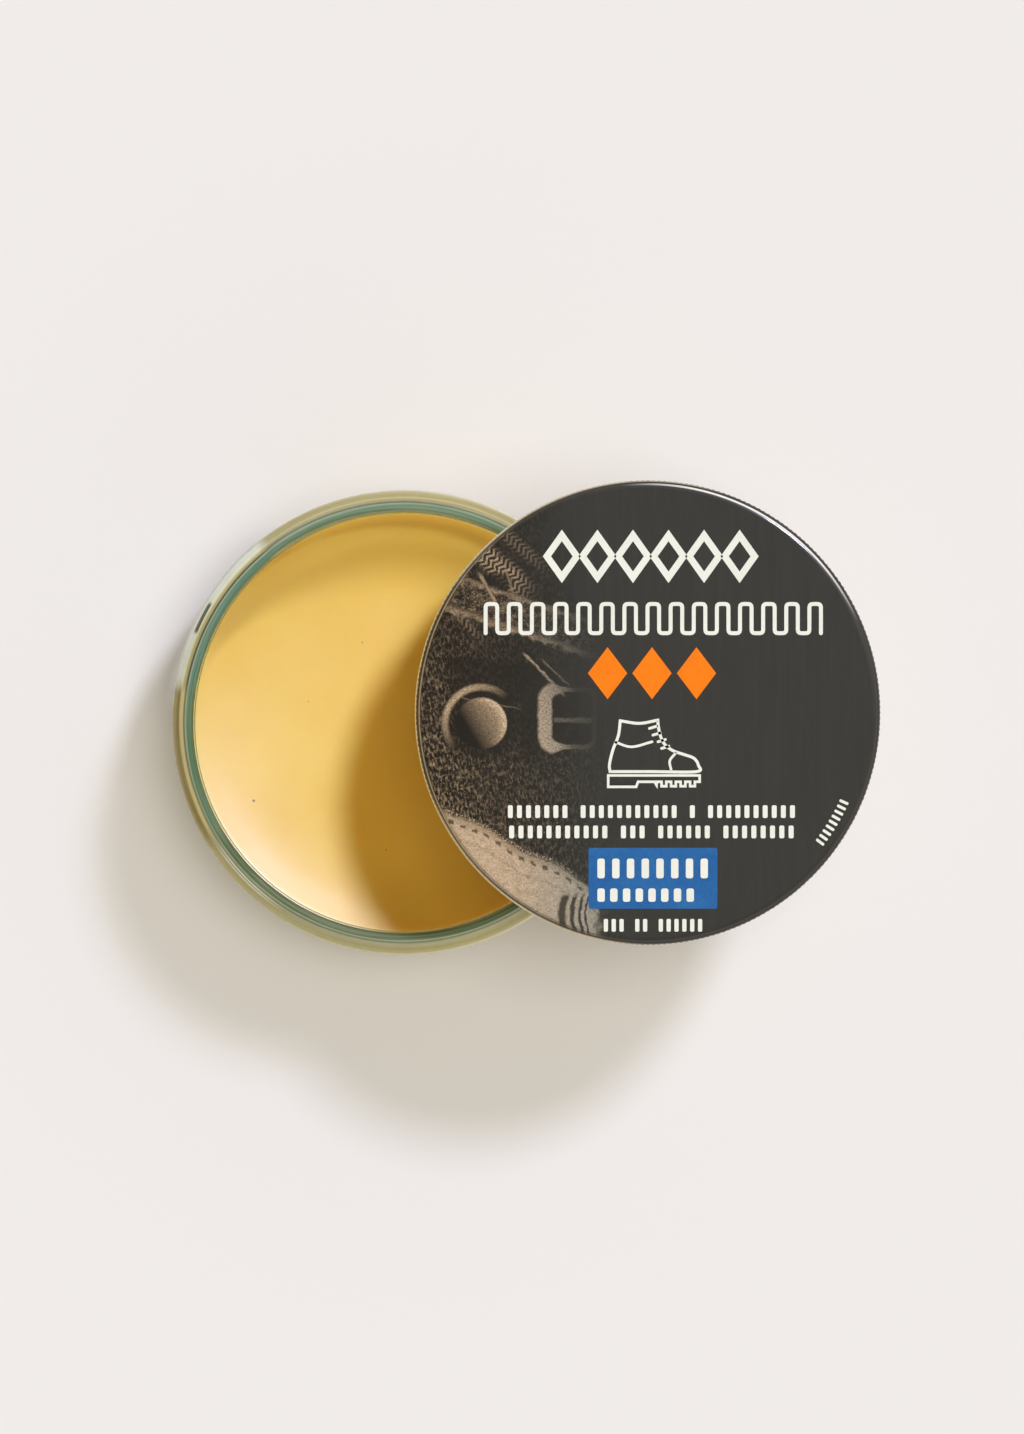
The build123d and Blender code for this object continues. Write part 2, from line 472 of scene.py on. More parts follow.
def glass_material():
    mat = Material("green_tint_glass")
    fine = mat.noise(scale=900.0, detail=2.0)
    broad = mat.noise(scale=60.0, detail=2.0)
    x, y, z = mat.coords()
    radius = hypot(x, y)
    # the rim is painted green for light that travels down the wall inside the glass and comes
    # out green there
    rim = z.step(RIM_Z - 1.0, RIM_Z - 0.4) * radius.step(33.6, 33.9) * radius.step(35.3, 34.9)
    body = mat.mix(broad, (0.95, 0.985, 0.955), (0.965, 0.99, 0.97))
    mat.set(
        color=mat.mix(rim, body, (0.36, 0.53, 0.46)),
        rough=broad * 0.03 + 0.01,
        ior=1.5,
        trans=1.0,
    )
    mat.bump(fine * 0.1 + broad, depth_mm=0.006, strength=0.3)

    # lamps and diffuse light pass the glass as through a tinted pane
    below_shoulder = z.step(27.5, 25.5)
    pane = mat.mix(below_shoulder, (0.76, 0.76, 0.73), (0.88, 0.88, 0.85))
    clear = mat.bsdf("Transparent", pane)

    # the stippled heel and bearing ring scatter light like frosted glass
    stipple = mat.noise(scale=1400.0, detail=2.0)
    frost = mat.bsdf("Diffuse", mat.mix(stipple, (0.84, 0.77, 0.55), (0.94, 0.88, 0.70)))
    glow = mat.bsdf("Translucent", (0.92, 0.87, 0.74))
    heel = z.step(4.2, 3.0) * radius.step(28.0, 29.0) * 0.85
    frosted = mat.blend(heel, mat.principled.outputs[0], mat.blend(0.4, frost, glow))

    # painted light: upward faces of rim, thread and shoulder take a diffuse colour painted with
    # the look of the long way light takes in the wall
    tint = painted_wall_colour(mat, x, y, z, fine)
    normal_z = mat.split(mat.node("NewGeometry").outputs["Normal"])[2]
    upward = normal_z.step(0.03, 0.22) * z.step(24.6, 25.4)
    ringed = mat.blend(upward * 0.86, frosted, mat.bsdf("Diffuse", tint))

    path = mat.node("LightPath").outputs
    shadow, diffuse = (Num(mat.tree, path[f"Is {kind} Ray"]) for kind in ("Shadow", "Diffuse"))
    mat.surface(mat.blend(shadow.max(diffuse), ringed, clear))
    absorb = mat.node("VolumeAbsorption", {"Color": (0.25, 0.62, 0.42), "Density": 7.0})
    feed(mat.tree, mat.output.inputs["Volume"], absorb.outputs[0])
    return mat.data


# ---------------------------------------------------------------------------
# Wax, metal and ink materials
# ---------------------------------------------------------------------------
# Dust specks and faint pores in the wax top: x, y, radius in mm
WAX_SPECKS = (
    (-24.3, -12.6, 0.27), (-6.8, 12.9, 0.20), (-15.5, 3.4, 0.12), (-3.0, -20.5, 0.12),
)


def wax_material():
    mat = Material("yellow_wax")
    x, y, z = mat.coords()
    cloud = mat.noise(scale=45.0, detail=4.0, rough=0.55)
    fine = mat.noise(scale=700.0, detail=3.0)
    grain = mat.noise(scale=2600.0, detail=2.0)
    color = mat.mix(cloud.step(0.3, 0.7), (0.81, 0.50, 0.075), (0.85, 0.555, 0.108))
    # painted shade: the back of the wax is darker near the glass, eased at a ripple band and
    # right at the wall
    radius = hypot(x, y)
    from_wall = BORE_TOP_R - radius
    back = ((x * 0.26 + y * 0.966) / (radius + 0.01)).step(-0.2, 1.0)
    reach = back * 13.5 + 0.3
    deep = (from_wall / reach).step(1.0, 0.42) * back.step(0.0, 0.3)
    ripple = ((from_wall - 3.2).abs() / 2.2).step(1.0, 0.1) * back.step(0.6, 0.9)
    edge = from_wall.step(1.9, 0.5) * back.step(0.75, 0.95)
    deep = deep * (1.0 - ripple * 0.22) * (1.0 - edge * 0.55)
    color = mat.mix(deep, color, (0.63, 0.375, 0.050))
    # painted shade: the front of the wax is darker and less blue near the glass
    front = ((x * 0.26 - y * 0.966) / (radius + 0.01)).step(0.80, 0.98)
    color = mat.mix(front * from_wall.step(15.0, 4.0) * 0.45, color, (0.63, 0.36, 0.015))
    # painted light: the rounded foot of the wax is painted brighter, for light caught in the
    # thick glass base
    color = mat.mix(z.step(10.0, 6.5) * 0.65, color, (0.98, 0.82, 0.42))

    def speck(at_x, at_y, size):
        away = ((x - at_x) * (x - at_x) + (y - at_y) * (y - at_y)).sqrt()
        return (away + (fine - 0.5) * 0.25).step(size, size * 0.4)

    specks = reduce(Num.max, [speck(*row) for row in WAX_SPECKS])
    mat.set(
        color=mat.mix(specks * 0.85, color, (0.16, 0.07, 0.01)),
        rough=cloud * 0.10 + fine * 0.06 + 0.36,
        ior=1.44,
        spec=0.6,
        coat=1.0,
        coat_rough=0.42,
        coat_ior=1.66,
        sss=0.7,
        sss_scale=0.0022,
    )
    mat.principled.inputs["Subsurface Radius"].default_value = (1.0, 0.5, 0.16)
    relief = cloud * 1.0 + fine * 0.12 + grain * 0.03 - specks * 0.5
    mat.bump(relief, depth_mm=0.12, strength=0.6)
    return mat.data


def gold_material():
    mat = Material("gold_lacquer_tinplate")
    x, y, z = mat.coords(LID_X, LID_Y)
    streak = mat.noise(mat.vec(x * 0.05, y * 0.05, z * 6.0), scale=1.0, detail=3.0)
    mottle = mat.noise(scale=500.0, detail=4.0)
    wear = mat.noise(scale=160.0, detail=5.0).step(0.62, 0.78)
    color = mat.mix(mottle, (0.70, 0.55, 0.30), (0.82, 0.69, 0.44))
    color = mat.mix(wear * 0.45, color, (0.74, 0.70, 0.60))
    # painted shade: darker in the valleys of the knurl and in the crease above the rolled hem
    radius = hypot(x, y)
    tooth = (y.atan2(x) * KNURLS).math("COSINE")
    knurled = z.window(LID_TOP - 5.7, LID_TOP - 5.2, LID_TOP - 1.2, LID_TOP - 0.6)
    color = mat.mix(tooth.step(0.2, -0.9) * knurled * 0.62, color, (0.27, 0.185, 0.08))
    crease = z.step(LID_BOTTOM + 1.7, LID_BOTTOM + 1.0)
    crease = crease * z.step(LID_BOTTOM + 0.3, LID_BOTTOM + 0.6) * radius.step(36.72, 36.58)
    mat.set(
        color=mat.mix(crease * 0.85, color, (0.11, 0.065, 0.025)),
        metal=0.5,
        rough=streak * 0.12 + mottle * 0.10 + 0.20,
        coat=0.35,
        coat_rough=0.15,
    )
    mat.bump(streak * 0.5 + mottle * 0.5, depth_mm=0.015, strength=0.5)
    return mat.data


def inside_material():
    mat = Material("inner_lacquer")
    mottle = mat.noise(scale=420.0, detail=4.0)
    mat.set(
        color=mat.mix(mottle, (0.52, 0.40, 0.20), (0.64, 0.52, 0.30)),
        metal=0.75,
        rough=mottle * 0.15 + 0.28,
    )
    mat.bump(mottle, depth_mm=0.01, strength=0.4)
    return mat.data


def ink_material(name, color, deep):
    mat = Material(name)
    fine = mat.noise(scale=1800.0, detail=3.0)
    broad = mat.noise(scale=220.0, detail=3.0)
    mat.set(
        color=mat.mix(broad.step(0.25, 0.75) * 0.5 + fine.step(0.35, 0.8) * 0.4, color, deep),
        rough=fine * 0.12 + 0.36,
        coat=0.15,
        coat_rough=0.3,
    )
    mat.bump(fine, depth_mm=0.01, strength=0.4)
    return mat.data


# ---------------------------------------------------------------------------
# Lid print: charcoal, with a leather-and-seam picture fading in from the left.
# x and y are millimetres from the lid's axis. Each part below takes the picture's
# brightness (0 to 1) and returns it with the part drawn over it. Shared textures:
# mid is an even noise that makes edges wander, grit and patch are contrasty noises.
# ---------------------------------------------------------------------------
# Laces: start x, y, end x, y, half width in mm, brightness
LACES = (
    (-19.4, 9.2, -13.4, 2.9, 0.32, 0.55),
    (-16.6, 8.2, -12.6, 4.4, 0.24, 0.30),
    (-31.0, 2.6, -20.4, 0.6, 0.16, 0.22),
    (-26.5, 21.8, -24.0, 17.2, 0.42, 0.50),
    (-22.4, 22.6, -21.2, 18.4, 0.30, 0.30),
)
# Ribs of the woven collar: offset across it, half width in mm, brightness
COLLAR_RIBS = ((1.6, 2.6, 0.62), (-3.4, 1.2, 0.34), (6.2, 1.5, 0.26), (-8.4, 1.0, 0.30))
# Dark bowed lugs on the pale panel: x at the middle, half width in mm
PANEL_LUGS = ((-13.6, 0.85), (-12.0, 0.50), (-10.8, 0.34), (-9.9, 0.22))


def draw_leather(mat, x, y, flat, mid, grit, patch, edge_lit):
    """Dark grained leather: fine crackle, brighter toward the rim."""
    sparkle = mat.noise(flat, scale=5.5, detail=1.0)
    warp = mat.vec(x + (mid - 0.5) * 1.6, y * 0.8 + (mid - 0.5) * 1.2, 0.0)
    crackle = mat.voronoi(warp, scale=1.25, feature="DISTANCE_TO_EDGE").step(0.22, 0.02)
    slant = mat.vec(x * 2.6 + y * 0.6, y * 0.9 - x * 0.2, 0.0)
    drag = mat.noise(slant, scale=1.1, detail=3.0).contrast(2.6)
    grain = (grit * 0.24 + crackle * 0.22 + drag * 0.60 + (sparkle - 0.5) * 0.3).step(0.38, 1.0)
    front_lit = y.step(3.0, -15.0)
    patchy = patch * 1.1 + 0.25
    back_dim = y.step(15.0, 1.0) * 0.5 + 0.5
    picture = grain * (edge_lit * back_dim * 0.29 + front_lit * 0.15 + 0.075) * patchy
    # smooth, nearly black leather behind the rivet and left of the keeper
    calm = (y + x * 0.12 - 2.2 + (mid - 0.5) * 1.5).band(4.0, 2.4)
    calm = calm * x.step(-32.6, -30.6) * x.step(-10.0, -13.0)
    side = (x + 18.6).band(1.9, 1.1) * (y + 1.5).band(6.5, 4.5)
    return picture * (1.0 - calm.max(side) * 0.68)


def draw_collar(picture, x, y, fine, mid, big, grit):
    """Woven collar across the back left, fine herringbone, and a padded panel."""
    along = x * 0.75 - y * 0.66
    across = x * 0.66 + y * 0.75 + (mid - 0.5) * 1.0
    fold = ((across * 0.62).fract() - 0.5).abs() * 9.0
    hatch = (along * 7.4 + fold + (fine - 0.5) * 2.6).sin() * 0.5 + 0.5
    hatch = hatch.step(0.15, 0.95)
    for offset, width, bright in COLLAR_RIBS:
        rib = (across - offset + (big - 0.5) * 1.5).band(width, width * 0.3)
        length = along.window(-41.0, -36.0, -31.0, -24.0)
        picture = picture.max(rib * hatch * length * bright * (grit * 0.9 + 0.35))

    pad_x = (x + 24.6) * 0.8 + (y - 20.0) * 0.35
    pad_y = (y - 20.0) * 0.9 - (x + 24.6) * 0.3
    pad = (pad_x * pad_x * 0.16 + pad_y * pad_y * 0.42).sqrt().step(1.35, 0.9)
    return picture * (1.0 - pad * 0.85)


def draw_folded_edge(picture, x, y, mid, grit, patch):
    """Long folded edge with two ragged lit lips."""
    across = y + x * 0.33 - 8.6 + (mid - 0.5) * 2.2
    flap = across.band(3.0, 2.0)
    lips = (across - 2.6).band(0.85, 0.1).max((across + 2.6).band(0.9, 0.1))
    length = x.step(-5.0, -13.0)
    picture = picture * (1.0 - flap * length * 0.35)
    picture = picture.max(lips * length * (grit * 0.8 + 0.2) * (patch * 0.8 + 0.25) * 0.78)
    return picture.max(flap * length * (grit * 0.5 + patch * 0.6).step(0.40, 1.0) * 0.42)


def draw_rivet(picture, x, y, grit):
    """Domed rivet with a collar, lit from the right."""
    x, y = x + 26.3, y + 1.7
    radius = hypot(x, y)
    dome = (radius + (grit - 0.5) * 0.25).step(4.2, 3.9)
    lit = (x * 0.17 + y * 0.10 + 0.42).clamp()
    rim_lit = radius.step(2.4, 3.9) * (x * 0.22 + y * 0.10).clamp()
    dome_tone = (lit * 0.62 + rim_lit * 0.52) * (grit * 0.85 + 0.30)
    collar = (radius - 5.7).band(0.8, 0.2) * (y * 0.13 - x * 0.13).clamp()
    shade = radius.step(7.2, 4.4)
    picture = picture * (1.0 - shade * 0.75)
    picture = picture.max(collar * 0.72 * (grit * 0.9 + 0.3))
    return picture * (1.0 - dome) + dome_tone * dome


def draw_keeper(picture, x, y, mid, grit):
    """Rounded wire keeper, bright on its left side, with a bar across it."""
    # signed distance from a rounded rectangle
    out_x, out_y = (x + 12.3).abs() - 2.3, (y + 0.9).abs() - 2.9
    corner = (out_x.max(0.0) * out_x.max(0.0) + out_y.max(0.0) * out_y.max(0.0)).sqrt()
    away = (corner + out_x.max(out_y).min(0.0)) - 1.6
    away = away + (mid - 0.5) * 0.5
    width = x.step(-13.0, -15.6) * 0.85 + 0.40
    wire = 1.0 - (away.abs() / width).step(0.6, 1.15)
    tone = x.step(-11.0, -15.0) * 0.62 + y.step(-3.0, -6.5) * 0.12 + 0.10
    picture = picture * (1.0 - away.step(0.0, -0.6) * 0.7)
    picture = picture.max(wire * tone * (grit * 1.0 + 0.35))
    bar = (y + 1.2 + (mid - 0.5) * 0.8).band(0.6, 0.2)
    bar = bar * x.step(-15.4, -14.4) * x.step(-8.3, -9.3)
    return picture.max(bar * 0.26 * (grit + 0.3))


def draw_laces(picture, x, y, mid, grit):
    """Laces drawn as thin lit lines."""
    for start_x, start_y, end_x, end_y, width, bright in LACES:
        run_x, run_y = end_x - start_x, end_y - start_y
        length = math.hypot(run_x, run_y)
        along = (x - start_x) * (run_x / length) + (y - start_y) * (run_y / length)
        across = (x - start_x) * (-run_y / length) + (y - start_y) * (run_x / length)
        across = across + (mid - 0.5) * 0.7
        line = across.band(width, width * 0.2)
        line = line * along.step(-0.8, 0.6) * along.step(length + 0.8, length - 0.6)
        picture = picture.max(line * bright * (grit * 0.9 + 0.4))
    return picture


def draw_pale_panel(picture, x, y, mid, grit, patch):
    """Pale suede panel at the front left with a stitched edge; also returns its mask."""
    edge = y + 26.6 + (x + 10.0) * 0.52 + (mid - 0.5) * 1.5 + ((x * 0.55).sin()) * 0.35
    pale = edge.step(0.25, -0.45)
    pale = pale * (x + (patch - 0.5) * 2.0).step(-6.6, -8.8)
    dash = ((x * 3.4 + 0.3).sin() * 0.5 + 0.5).step(0.35, 0.75)
    stitch = (edge + 1.25).band(0.42, 0.15) * dash * x.step(-9.0, -11.0)
    piping = (edge - 0.2).band(0.6, 0.1)
    crease = (edge + 3.4 + (mid - 0.5) * 1.6).band(0.35, 0.05) * patch.step(0.3, 0.8)
    tone = grit * 0.46 + patch * 0.26 + 0.33 - crease * 0.34
    tone = tone * (x.step(-2.0, -26.0) * 0.22 + 0.78)
    tone = tone * (1.0 - (edge + 0.4).band(1.1, 0.2) * 0.25)
    picture = picture * (1.0 - pale) + pale * tone
    picture = picture * (1.0 - stitch * 0.75)
    picture = picture.max(piping * grit.step(0.35, 0.9) * 0.80 * x.step(-8.0, -14.0))
    for middle, width in PANEL_LUGS:
        bow = x - middle - (y + 31.8) * (y + 31.8) * 0.065 + (mid - 0.5) * 0.9
        lug = bow.band(width, width * 0.4) * (y + 31.9 + (mid - 0.5) * 1.5).band(3.6, 2.6)
        picture = picture * (1.0 - lug * 0.86)
    return picture, pale


def edge_wear_and_painted_light(mat, color, x, y, radius, fine, mid):
    """Chips, painted shade and painted highlight lines where the print rolls over the lid's
    corner.
    """
    chip = radius.step(36.42, 36.5) * (mid + fine * 0.3).step(0.55, 0.8)
    color = mat.mix(chip * 0.85, color, (0.55, 0.42, 0.22))
    # painted highlight: a bright line, strongest at the back right
    facing = (x * 0.50 + y * 0.866) / 35.6
    turned = (radius - 35.96).band(0.20, 0.08) * facing.step(0.80, 0.99)
    # painted shade: the turn of the corner is darker all round
    shade = (radius - 36.32).band(0.26, 0.10)
    color = mat.mix(shade * 0.85, color, (0.014, 0.011, 0.008))
    color = mat.mix(radius.step(35.75, 35.85) * 0.45, color, (0.022, 0.021, 0.018))
    color = mat.mix(turned * (mid * 0.3 + 0.75), color, (0.92, 0.90, 0.85))
    left = (x / -35.6).step(0.55, 0.9)
    lip = (radius - 36.08).band(0.16, 0.06) * left
    color = mat.mix(lip * (mid * 0.5 + 0.4), color, (0.42, 0.29, 0.12))
    # painted highlights on the outer turn of the edge, at the back and at the front left
    back = (y * 0.94 - x * 0.34).step(27.0, 33.0)
    front = (y * -0.82 - x * 0.57).step(29.0, 34.5)
    back = back * radius.step(36.32, 36.44) * (mid * 0.4 + 0.45)
    color = mat.mix(back, color, (0.50, 0.43, 0.29))
    front = front * radius.step(36.34, 36.46) * (mid * 0.4 + 0.45)
    return mat.mix(front, color, (0.66, 0.52, 0.27))


def print_material():
    mat = Material("lid_print")
    x, y, z = mat.coords(LID_X, LID_Y)
    flat = mat.vec(x, y, 0.0)
    fine = mat.noise(flat, scale=3.4, detail=3.0, rough=0.65)
    mid = mat.noise(flat, scale=0.9, detail=4.0, rough=0.6)
    big = mat.noise(flat, scale=0.12, detail=3.0)
    brushed = mat.noise(mat.vec(x * 1.0, y * 0.06, 0.0), scale=1.1, detail=3.0)
    tone = brushed * 0.5 + fine * 0.3
    charcoal = mat.mix(tone, (0.041, 0.040, 0.0345), (0.071, 0.069, 0.060))

    # the picture fades out to the right
    show = (x + y * 0.10 + (big - 0.5) * 10.0).step(-4.0, -21.0)
    grit = fine.contrast(2.6)
    patch = mid.contrast(2.2)
    edge_lit = x.step(-19.0, -34.0)
    picture = draw_leather(mat, x, y, flat, mid, grit, patch, edge_lit)
    picture = draw_collar(picture, x, y, fine, mid, big, grit)
    picture = draw_folded_edge(picture, x, y, mid, grit, patch)
    picture = draw_rivet(picture, x, y, grit)
    picture = draw_keeper(picture, x, y, mid, grit)
    picture = draw_laces(picture, x, y, mid, grit)
    picture, pale = draw_pale_panel(picture, x, y, mid, grit, patch)

    # brightness to sepia in three tones, warmer to the left
    dark = mat.mix(edge_lit, (0.031, 0.029, 0.023), (0.024, 0.020, 0.014))
    medium = mat.mix(x.step(-8.0, -24.0), (0.27, 0.25, 0.195), (0.35, 0.258, 0.160))
    light = mat.mix(x.step(-8.0, -24.0), (0.50, 0.46, 0.37), (0.72, 0.53, 0.37))
    sepia = mat.mix((picture * 2.0).clamp(), dark, medium)
    sepia = mat.mix((picture * 2.0 - 1.0).clamp(), sepia, light)
    color = mat.mix(show.max(pale), charcoal, sepia)

    radius = hypot(x, y)
    mat.set(
        color=edge_wear_and_painted_light(mat, color, x, y, radius, fine, mid),
        rough=fine * 0.10 + big * 0.05 + 0.34,
        spec=0.35,
        coat=0.9 - radius.step(36.12, 36.28) * 0.7,
        coat_rough=0.11,
    )
    peel = mat.noise(flat, scale=1.4, detail=2.0)
    mat.bump(peel * 0.6 + fine * 0.15, depth_mm=0.012, strength=0.5)
    return mat.data


# ---------------------------------------------------------------------------
# Paper, board and foam materials
# ---------------------------------------------------------------------------
def label_bars():
    """Printed bars: start and end in degrees from the centre line, low and high z in mm."""
    bars = [(0.5, 10.5, 14.2, 18.6), (-24.0, -3.5, 20.4, 22.6)]
    for i in range(6):
        start, end = -23.5 + (i % 3) * 1.2, -6.0 + ((i * 5) % 7) * 1.1
        bars.append((start, end, 9.0 + i * 1.55, 9.75 + i * 1.55))
    for i in range(14):
        start = 12.5 + i * 0.78
        bars.append((start, start + (0.5 if i % 3 else 0.28), 8.6, 13.6))
    return bars


def label_material():
    mat = Material("side_label_paper")
    x, y, z = mat.coords()
    cos, sin = math.cos(math.radians(LABEL_ANGLE)), math.sin(math.radians(LABEL_ANGLE))
    degrees = (y * cos - x * sin).atan2(x * cos + y * sin) * (180 / math.pi)
    fibre = mat.noise(scale=1500.0, detail=4.0)
    blot = mat.noise(scale=150.0, detail=3.0)
    paper = mat.mix(blot, (0.86, 0.87, 0.83), (0.92, 0.93, 0.90))

    def bar(start, end, low, high):
        mask = degrees.window(start - 0.12, start + 0.12, end - 0.12, end + 0.12)
        return mask * z.step(low - 0.06, low + 0.06) * z.step(high + 0.06, high - 0.06)

    ink = reduce(Num.max, [bar(*row) for row in label_bars()])
    color = mat.mix(ink * (fibre * 0.2 + 0.8), paper, (0.03, 0.03, 0.03))
    mat.set(color=color, rough=fibre * 0.15 + 0.45, coat=0.1, coat_rough=0.4)
    mat.bump(fibre, depth_mm=0.015, strength=0.5)
    through = mat.bsdf("Translucent", color)
    mat.surface(mat.blend(0.5, mat.principled.outputs[0], through))
    return mat.data


def board_material():
    mat = Material("pulp_board")
    fibre = mat.noise(scale=900.0, detail=6.0, rough=0.7)
    fleck = mat.noise(scale=2200.0, detail=2.0).step(0.66, 0.74)
    color = mat.mix(fibre, (0.55, 0.49, 0.38), (0.72, 0.67, 0.56))
    color = mat.mix(fleck * 0.6, color, (0.30, 0.24, 0.17))
    mat.set(color=color, rough=fibre * 0.2 + 0.7)
    mat.bump(fibre, depth_mm=0.05, strength=0.7)
    return mat.data


def foam_material():
    mat = Material("white_foam")
    cell = mat.voronoi(scale=2400.0)
    soft = mat.noise(scale=300.0, detail=3.0)
    color = mat.mix(cell.clamp() * 0.5 + soft * 0.4, (0.70, 0.66, 0.55), (0.60, 0.56, 0.46))
    mat.set(color=color, rough=soft * 0.1 + 0.5, sss=0.15, sss_scale=0.0008)
    mat.bump(cell, depth_mm=0.06, strength=0.5)
    return mat.data


GLASS = glass_material()
WAX = wax_material()
GOLD = gold_material()
INSIDE = inside_material()
PRINT = print_material()
LABEL = label_material()
BOARD = board_material()
FOAM = foam_material()
WHITE_INK = ink_material("white_ink", color=(0.86, 0.87, 0.77), deep=(0.76, 0.77, 0.67))
ORANGE_INK = ink_material("orange_ink", color=(0.94, 0.235, 0.009), deep=(0.87, 0.19, 0.008))
BLUE_INK = ink_material("blue_ink", color=(0.024, 0.12, 0.32), deep=(0.042, 0.17, 0.39))


# ---------------------------------------------------------------------------
# Glass jar
# ---------------------------------------------------------------------------
def bore_wave(angle, z):
    """Slight unevenness of pressed glass."""
    return 0.035 * np.sin(2 * angle + 0.7) + 0.02 * np.sin(5 * angle + 0.12 * z)


def bore_radius(angle, z):
    t = (z - BORE_LOW_Z) / (BORE_TOP_Z - BORE_LOW_Z)
    return BORE_LOW_R + (BORE_TOP_R - BORE_LOW_R) * t + bore_wave(angle, z)


def bore_wall(gap=0.0):
    """Ring shape that follows the bore, gap mm outside it."""
    return lambda angle, radius, z: (bore_radius(angle, z) + gap, z)


def bore_foot(angle, radius, z):
    """The bore's wave dies out toward the floor."""
    return radius + bore_wave(angle, z) * smooth01((z - FLOOR_Z) / 3.0), z


def bore_lip(angle, radius, z):
    """The bore's wave dies out toward the rim."""
    return radius + bore_wave(angle, z) * smooth01((RIM_Z - z) / LIP_IN_R), z


def stippled(amount):
    """Short radial nicks, 128 round the bearing ring."""
    return lambda angle, radius, z: (
        radius,
        z + 0.05 * amount * np.clip(np.sin(128 * angle), 0, 1),
    )


def jar_body(angle, radius, z):
    """Two mould seams and a faint unevenness, kept inside the body radius."""
    seam = np.exp(-((np.sin(angle - 1.05) / 0.006) ** 2))
    wave = 0.012 * np.sin(3 * angle + 0.4) + 0.008 * np.sin(7 * angle + 0.05 * z)
    return radius - 0.035 + 0.03 * seam + wave * 0.5, z


def jar_neck(angle, radius, z):
    """Rounded right-hand thread, 0.75 mm proud."""
    rib = helix_rib(angle, z, low=30.9, start=20.0, turns=1.2, half_base=1.25, half_tip=0.25)
    return radius + 0.75 * rib, z


def make_jar():
    count = 384
    punt_z = 1.2
    skin = Skin()
    # raised middle of the underside
    skin.pole(punt_z)
    for radius in (4, 9, 14, 18, 21):
        skin.ring(96 if radius < 18 else 192, radius, punt_z)
    for t in np.linspace(0, 1, 10):
        skin.ring(192, 22 + 6.5 * t, punt_z * (1 - smooth01(t)))
    # bearing ring: radius, amount of stipple
    for radius, amount in (
        (28.9, 0), (29.5, 0), (30.0, 1), (31.0, 1), (32.0, 1), (33.0, 1), (33.5, 0),
    ):
        skin.ring(768, radius, 0.0, shape=stippled(amount))
    # heel, body and shoulder
    for radius, z in arc(34.0, 3.8, 3.8, -90, 0, 16):
        skin.ring(count, radius, z, shape=jar_body if z > 1.0 else None)
    for z in np.linspace(5.2, 24.0, 13):
        skin.ring(count, JAR_R, z, shape=jar_body)
    for radius, z in arc(35.45, 24.6, 2.35, 0, 84, 18):
        skin.ring(count, radius, z, shape=jar_body)
    # run-in to the neck, then the neck with its thread
    for t in np.linspace(0.25, 1, 6):
        skin.ring(count, 35.62 - 0.42 * smooth01(t) ** 0.6, 26.95 + 0.45 * t, shape=jar_neck)
    for z in np.arange(27.6, 38.7, 0.17):
        skin.ring(count, NECK_R, z, shape=jar_neck)
    # rounded rim
    for radius, z in arc(NECK_R - LIP_OUT_R, 38.95, LIP_OUT_R, 0, 90, 9):
        skin.ring(count, radius, z)
    skin.ring(count, 34.60, RIM_Z)
    for radius, z in arc(BORE_TOP_R + LIP_IN_R, BORE_TOP_Z, LIP_IN_R, 90, 180, 11):
        skin.ring(count, radius, z, shape=bore_lip)
    # bore, floor fillet and floor
    for z in (*np.arange(38.4, 33.0, -0.6), *np.arange(32.5, BORE_LOW_Z, -1.9)):
        skin.ring(count, 0, z, shape=bore_wall())
    for radius, z in arc(BORE_LOW_R - FLOOR_FILLET, BORE_LOW_Z, FLOOR_FILLET, 0, -90, 12):
        skin.ring(count, radius, z, shape=bore_foot)
    for radius, points in ((27, 192), (20, 192), (12, 96), (5, 96)):
        skin.ring(points, radius, FLOOR_Z)
    skin.pole(FLOOR_Z)
    jar = skin.build("jar_glass_body")
    register(jar, GLASS, body="jar", node="glass_jar", slot="jar_glass")


# ---------------------------------------------------------------------------
# Wax: cast flush to the glass, with a raised edge and soft cooling ripples
# ---------------------------------------------------------------------------
# Height of the dished top by distance from the wall, the slope summed inward-out
DISH_REACH = np.linspace(0.0, 34.0, 681)
DISH_SLOPE = 0.26 * np.exp(-((DISH_REACH / 11.0) ** 2.2))
DISH_RISE = np.cumsum(DISH_SLOPE[::-1])[::-1] * (DISH_REACH[1] - DISH_REACH[0])

# Stations of the wax: heights up its side, distances in from the wall across its top
WAX_SIDE_Z = (9.4, 10.0, 11.0, 13.0, 16.0, 19.0, 22.0, 25.0, 28.0, 31.0, 33.0, 34.3, 34.8)
WAX_TOP_IN = (
    -0.2, 0.06, 0.14, 0.25, 0.4, 0.6, 0.85, 1.15, 1.5, 1.9, 2.4, 3.0, 3.7, 4.5, 5.4, 6.4, 7.5,
    8.7, 10.0, 11.4, 12.9, 14.5, 16.2, 18.0, 20.0, 22.0, 24.0,
)


def wax_height(angle, radius):
    """Dished top: steep near the glass, flat in the middle, faint ripples at the back."""
    inward = BORE_TOP_R - radius
    lift = 0.89 + 0.39 * np.cos(angle - 1.31)
    z = 32.6 + lift * np.interp(inward, DISH_REACH, DISH_RISE) + 0.07 * np.exp(-inward / 0.4)
    near = np.clip(np.cos(angle - 4.10), 0.0, 1.0) ** 2
    z = z + 0.24 * near * np.exp(-((inward / 3.2) ** 2))
    sector = np.exp(-(((np.mod(angle - 1.65 + math.pi, TAU) - math.pi) / 0.75) ** 2))
    fade = np.exp(-(((inward - 4.8) / 4.2) ** 2))
    z = z - 0.055 * sector * np.sin(TAU * (inward - 2.1) / 4.4) * fade
    x, y = radius * np.cos(angle), radius * np.sin(angle)
    z = z + 0.05 * np.sin(0.11 * x + 0.6) * np.cos(0.09 * y - 0.4) * smooth01(inward / 8.0)
    return z + 0.012 * np.sin(0.43 * x - 0.31 * y + 1.0) * smooth01(inward / 5.0)


